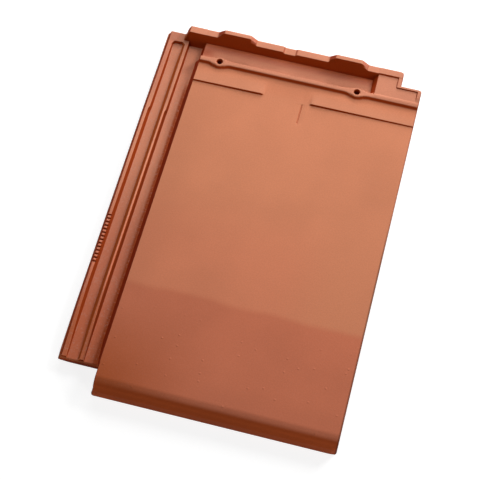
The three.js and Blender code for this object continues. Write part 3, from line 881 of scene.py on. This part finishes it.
def firedClay():
    look = clayLook
    smooth = {"interpolation_type": "SMOOTHSTEP"}
    multiply = {"operation": "MULTIPLY"}
    multiplyAdd = {"operation": "MULTIPLY_ADD"}
    material = bpy.data.materials.new("firedClay")
    material.use_nodes = True
    tree = material.node_tree
    shader = tree.nodes["Principled BSDF"]
    coordinates = addNode(tree, "ShaderNodeTexCoord")
    place = addNode(tree, "ShaderNodeMapping", None, {
        "Vector": coordinates.outputs["Object"], "Scale": (1000, 1000, 1000)}, "Vector")
    parts = addNode(tree, "ShaderNodeSeparateXYZ", None, {"Vector": place})
    facing = addNode(tree, "ShaderNodeSeparateXYZ", None, {"Vector": coordinates.outputs["Normal"]})
    wobble = addNode(tree, "ShaderNodeTexNoise", None, {
        "Vector": place, "Scale": 1 / look["wobble"], "Detail": 2.0}, "Fac")
    axes = {
        "x": parts.outputs["X"],
        "y": parts.outputs["Y"],
        "z": parts.outputs["Z"],
        "band": addNode(tree, "ShaderNodeMath", multiplyAdd, {
            0: wobble, 1: look["wobbleDepth"], 2: parts.outputs["Y"]}, 0),
        "toRight": facing.outputs["X"],
        "toHead": facing.outputs["Y"],
    }

    def covered(stretches):
        share = None
        for axis, start, full in stretches:
            part = addNode(tree, "ShaderNodeMapRange", smooth, {
                "Value": axes[axis], "From Min": start, "From Max": full}, "Result")
            if share is None:
                share = part
            else:
                share = addNode(tree, "ShaderNodeMath", multiply, {0: share, 1: part}, 0)
        return share

    def layered(tone, layers):
        for colour, stretches in layers:
            tone = addNode(tree, "ShaderNodeMix", {"data_type": "RGBA"}, {
                0: covered(stretches), 6: tone, 7: hexColour(colour)}, 2)
        return tone

    tone = layered(hexColour(look["face"]), look["tones"])

    # greyish specks
    specks = addNode(tree, "ShaderNodeTexNoise", None, {
        "Vector": place, "Scale": 1 / look["speck"], "Detail": 2.0, "Roughness": 0.7}, "Fac")
    specks = addNode(tree, "ShaderNodeMapRange", smooth, {
        "Value": specks, "From Min": look["speckLevels"][0], "From Max": look["speckLevels"][1]}, "Result")
    many = addNode(tree, "ShaderNodeMapRange", smooth, {
        "Value": axes["x"], "From Min": look["lockFrom"][0], "From Max": look["lockFrom"][1],
        "To Min": look["speckShares"][0], "To Max": look["speckShares"][1]}, "Result")
    specks = addNode(tree, "ShaderNodeMath", multiply, {0: specks, 1: many}, 0)
    tone = addNode(tree, "ShaderNodeMix", {"data_type": "RGBA"}, {
        0: specks, 6: tone, 7: hexColour(look["speckle"])}, 2)

    # the deep colour of the walls, partly their own and partly painted shade, mixed in by how steep the
    # surface is
    upright = addNode(tree, "ShaderNodeMath", {"operation": "ABSOLUTE"}, {0: facing.outputs["Z"]}, 0)
    steep = addNode(tree, "ShaderNodeMapRange", smooth, {
        "Value": upright, "From Min": look["steep"][0], "From Max": look["steep"][1]}, "Result")
    wall = layered(hexColour(look["wall"]), look["walls"])
    tone = addNode(tree, "ShaderNodeMix", {"data_type": "RGBA"}, {0: steep, 6: tone, 7: wall}, 2)

    # uneven firing and grain, then the painted light and shade
    patches = addNode(tree, "ShaderNodeTexNoise", None, {
        "Vector": place, "Scale": 1 / look["patch"], "Detail": 3.0}, "Fac")
    firingAndPaintedShade = addNode(tree, "ShaderNodeMapRange", smooth, {
        "Value": patches, "From Min": 0.3, "From Max": 0.7,
        "To Min": look["patchTones"][0], "To Max": look["patchTones"][1]}, "Result")
    grain = addNode(tree, "ShaderNodeTexNoise", None, {
        "Vector": place, "Scale": 1 / look["grain"], "Detail": 3.0, "Roughness": 0.6}, "Fac")
    fine = addNode(tree, "ShaderNodeMapRange", smooth, {
        "Value": grain, "From Min": 0.3, "From Max": 0.7,
        "To Min": look["grainTones"][0], "To Max": look["grainTones"][1]}, "Result")
    firingAndPaintedShade = addNode(tree, "ShaderNodeMath", multiply, {0: firingAndPaintedShade, 1: fine}, 0)
    for times, stretches in look["paintedShades"]:
        part = addNode(tree, "ShaderNodeMath", multiplyAdd, {0: covered(stretches), 1: times - 1, 2: 1.0}, 0)
        firingAndPaintedShade = addNode(tree, "ShaderNodeMath", multiply, {0: firingAndPaintedShade, 1: part}, 0)
    firingAndPaintedShade = addNode(tree, "ShaderNodeCombineColor", None, {
        "Red": firingAndPaintedShade, "Green": firingAndPaintedShade, "Blue": firingAndPaintedShade}, "Color")
    tone = addNode(tree, "ShaderNodeMix", {"data_type": "RGBA", "blend_type": "MULTIPLY"}, {
        0: 1.0, 6: tone, 7: firingAndPaintedShade}, 2)
    tree.links.new(tone, shader.inputs["Base Color"])

    # small pimples towards the tail, and the grain everywhere
    cells = addNode(tree, "ShaderNodeTexVoronoi", {"voronoi_dimensions": "2D"}, {
        "Vector": place, "Scale": 1 / look["pimple"]})
    few = addNode(tree, "ShaderNodeSeparateColor", None, {"Color": cells.outputs["Color"]}, "Red")
    few = addNode(tree, "ShaderNodeMath", {"operation": "GREATER_THAN"}, {
        0: few, 1: 1 - look["pimpleShare"]}, 0)
    dome = addNode(tree, "ShaderNodeMapRange", smooth, {
        "Value": cells.outputs["Distance"], "From Min": look["pimpleRadius"], "From Max": 0.0}, "Result")
    for share in (few, covered(look["pimples"]), look["pimpleDepth"] / 1000):
        dome = addNode(tree, "ShaderNodeMath", multiply, {0: dome, 1: share}, 0)
    height = addNode(tree, "ShaderNodeMath", multiplyAdd, {
        0: grain, 1: look["grainDepth"] / 1000, 2: dome}, 0)
    relief = addNode(tree, "ShaderNodeBump", None, {
        "Height": height, "Strength": 1.0, "Distance": 1.0}, "Normal")
    tree.links.new(relief, shader.inputs["Normal"])

    shader.inputs["IOR"].default_value = look["ior"]
    shader.inputs["Roughness"].default_value = look["roughness"]
    shader.inputs["Specular IOR Level"].default_value = look["specular"]
    return material


piece.data.materials.append(firedClay())

print("floor and light")

studio = {
    "floorSize": 6.0,
    "floorGap": 0.0002,         # under the tile, so that the two never touch
    "floor": "#E8E8E8",
    "shadowed": 0.36,           # how much of the lamps' light and shadow shows on the floor
    "ownWhite": (0.82, 1.0),    # what it glows by itself, under the tile and far from it
    "whiteFrom": (0.35, 1.2),   # distances in metres between which that changes
    "surround": 0.02,           # what the white world adds to the light
    # lamps: distance and size in metres, elevation, bearing clockwise from the head of the tile, watts
    "lamps": {
        "keyLamp": (1.6, 0.6, 35, 45, 17.6),
        "headLamp": (1.6, 0.6, 15, 0, 23.8),
        "tailLamp": (1.6, 0.6, 15, 135, 7.5),
        "fillLamp": (1.6, 0.6, 35, 225, 3.3),
        "nearHeadLamp": (0.75, 0.3, 25, 0, 0.9),
        "nearLeftLamp": (0.75, 0.3, 40, -30, 0.9),
    },
}


def seenDirectly(tree):
    # 1 where the camera, a reflection or something clear looks at it, 0 for the light it gives back
    path = addNode(tree, "ShaderNodeLightPath")
    seen = path.outputs["Is Camera Ray"]
    for name in ("Is Glossy Ray", "Is Transmission Ray"):
        seen = addNode(tree, "ShaderNodeMath", {"operation": "ADD", "use_clamp": True}, {
            0: seen, 1: path.outputs[name]}, 0)
    return seen


def whitePaper():
    # paper sweep, matt and plain white: it shows a faint shadow, and away from the lamps it keeps its white
    material = bpy.data.materials.new("whitePaper")
    material.use_nodes = True
    tree = material.node_tree
    tree.nodes.clear()
    plain = addNode(tree, "ShaderNodeBsdfDiffuse", None, {"Color": hexColour(studio["floor"])}, 0)
    grey = (studio["shadowed"], studio["shadowed"], studio["shadowed"], 1)
    soft = addNode(tree, "ShaderNodeBsdfDiffuse", None, {"Color": grey}, 0)
    spot = addNode(tree, "ShaderNodeTexCoord", None, None, "Object")
    reach = addNode(tree, "ShaderNodeVectorMath", {"operation": "LENGTH"}, {0: spot}, "Value")
    reach = addNode(tree, "ShaderNodeMapRange", {"interpolation_type": "SMOOTHSTEP"}, {
        "Value": reach, "From Min": studio["whiteFrom"][0], "From Max": studio["whiteFrom"][1],
        "To Min": studio["ownWhite"][0], "To Max": studio["ownWhite"][1]}, "Result")
    glow = addNode(tree, "ShaderNodeEmission", None, {"Strength": reach}, 0)
    bright = addNode(tree, "ShaderNodeAddShader", None, {0: soft, 1: glow}, 0)
    either = addNode(tree, "ShaderNodeMixShader", None, {0: seenDirectly(tree), 1: plain, 2: bright}, 0)
    addNode(tree, "ShaderNodeOutputMaterial", None, {"Surface": either})
    return material


def makeFloor():
    half = studio["floorSize"] / 2
    level = low[2] - studio["floorGap"]
    corners = [(x * half, y * half, level) for x, y in ((-1, -1), (1, -1), (1, 1), (-1, 1))]
    mesh = bpy.data.meshes.new("floor")
    mesh.from_pydata(corners, [], [(0, 1, 2, 3)])
    mesh.materials.append(whitePaper())
    floor = bpy.data.objects.new("floor", mesh)
    bpy.context.scene.collection.objects.link(floor)


def makeWorld():
    world = bpy.data.worlds.new("world")
    bpy.context.scene.world = world
    world.use_nodes = True
    background = world.node_tree.nodes["Background"]
    strength = addNode(world.node_tree, "ShaderNodeMapRange", None, {
        "Value": seenDirectly(world.node_tree), "To Min": studio["surround"], "To Max": 1.0}, "Result")
    background.inputs["Color"].default_value = (1, 1, 1, 1)
    world.node_tree.links.new(strength, background.inputs["Strength"])


def makeLamps():
    for name, (distance, size, rise, bearing, power) in studio["lamps"].items():
        rise, bearing = math.radians(rise), math.radians(bearing)
        towards = (math.sin(bearing) * math.cos(rise), math.cos(bearing) * math.cos(rise), math.sin(rise))
        place = distance * mathutils.Vector(towards)
        data = bpy.data.lights.new(name, "AREA")
        data.shape = "DISK"
        data.size = size
        data.energy = power
        lamp = bpy.data.objects.new(name, data)
        lamp.location = place
        lamp.rotation_euler = place.to_track_quat("Z", "Y").to_euler()
        lamp.visible_camera = False
        bpy.context.scene.collection.objects.link(lamp)


makeFloor()
makeWorld()
makeLamps()
bpy.context.scene.view_settings.view_transform = "Standard"
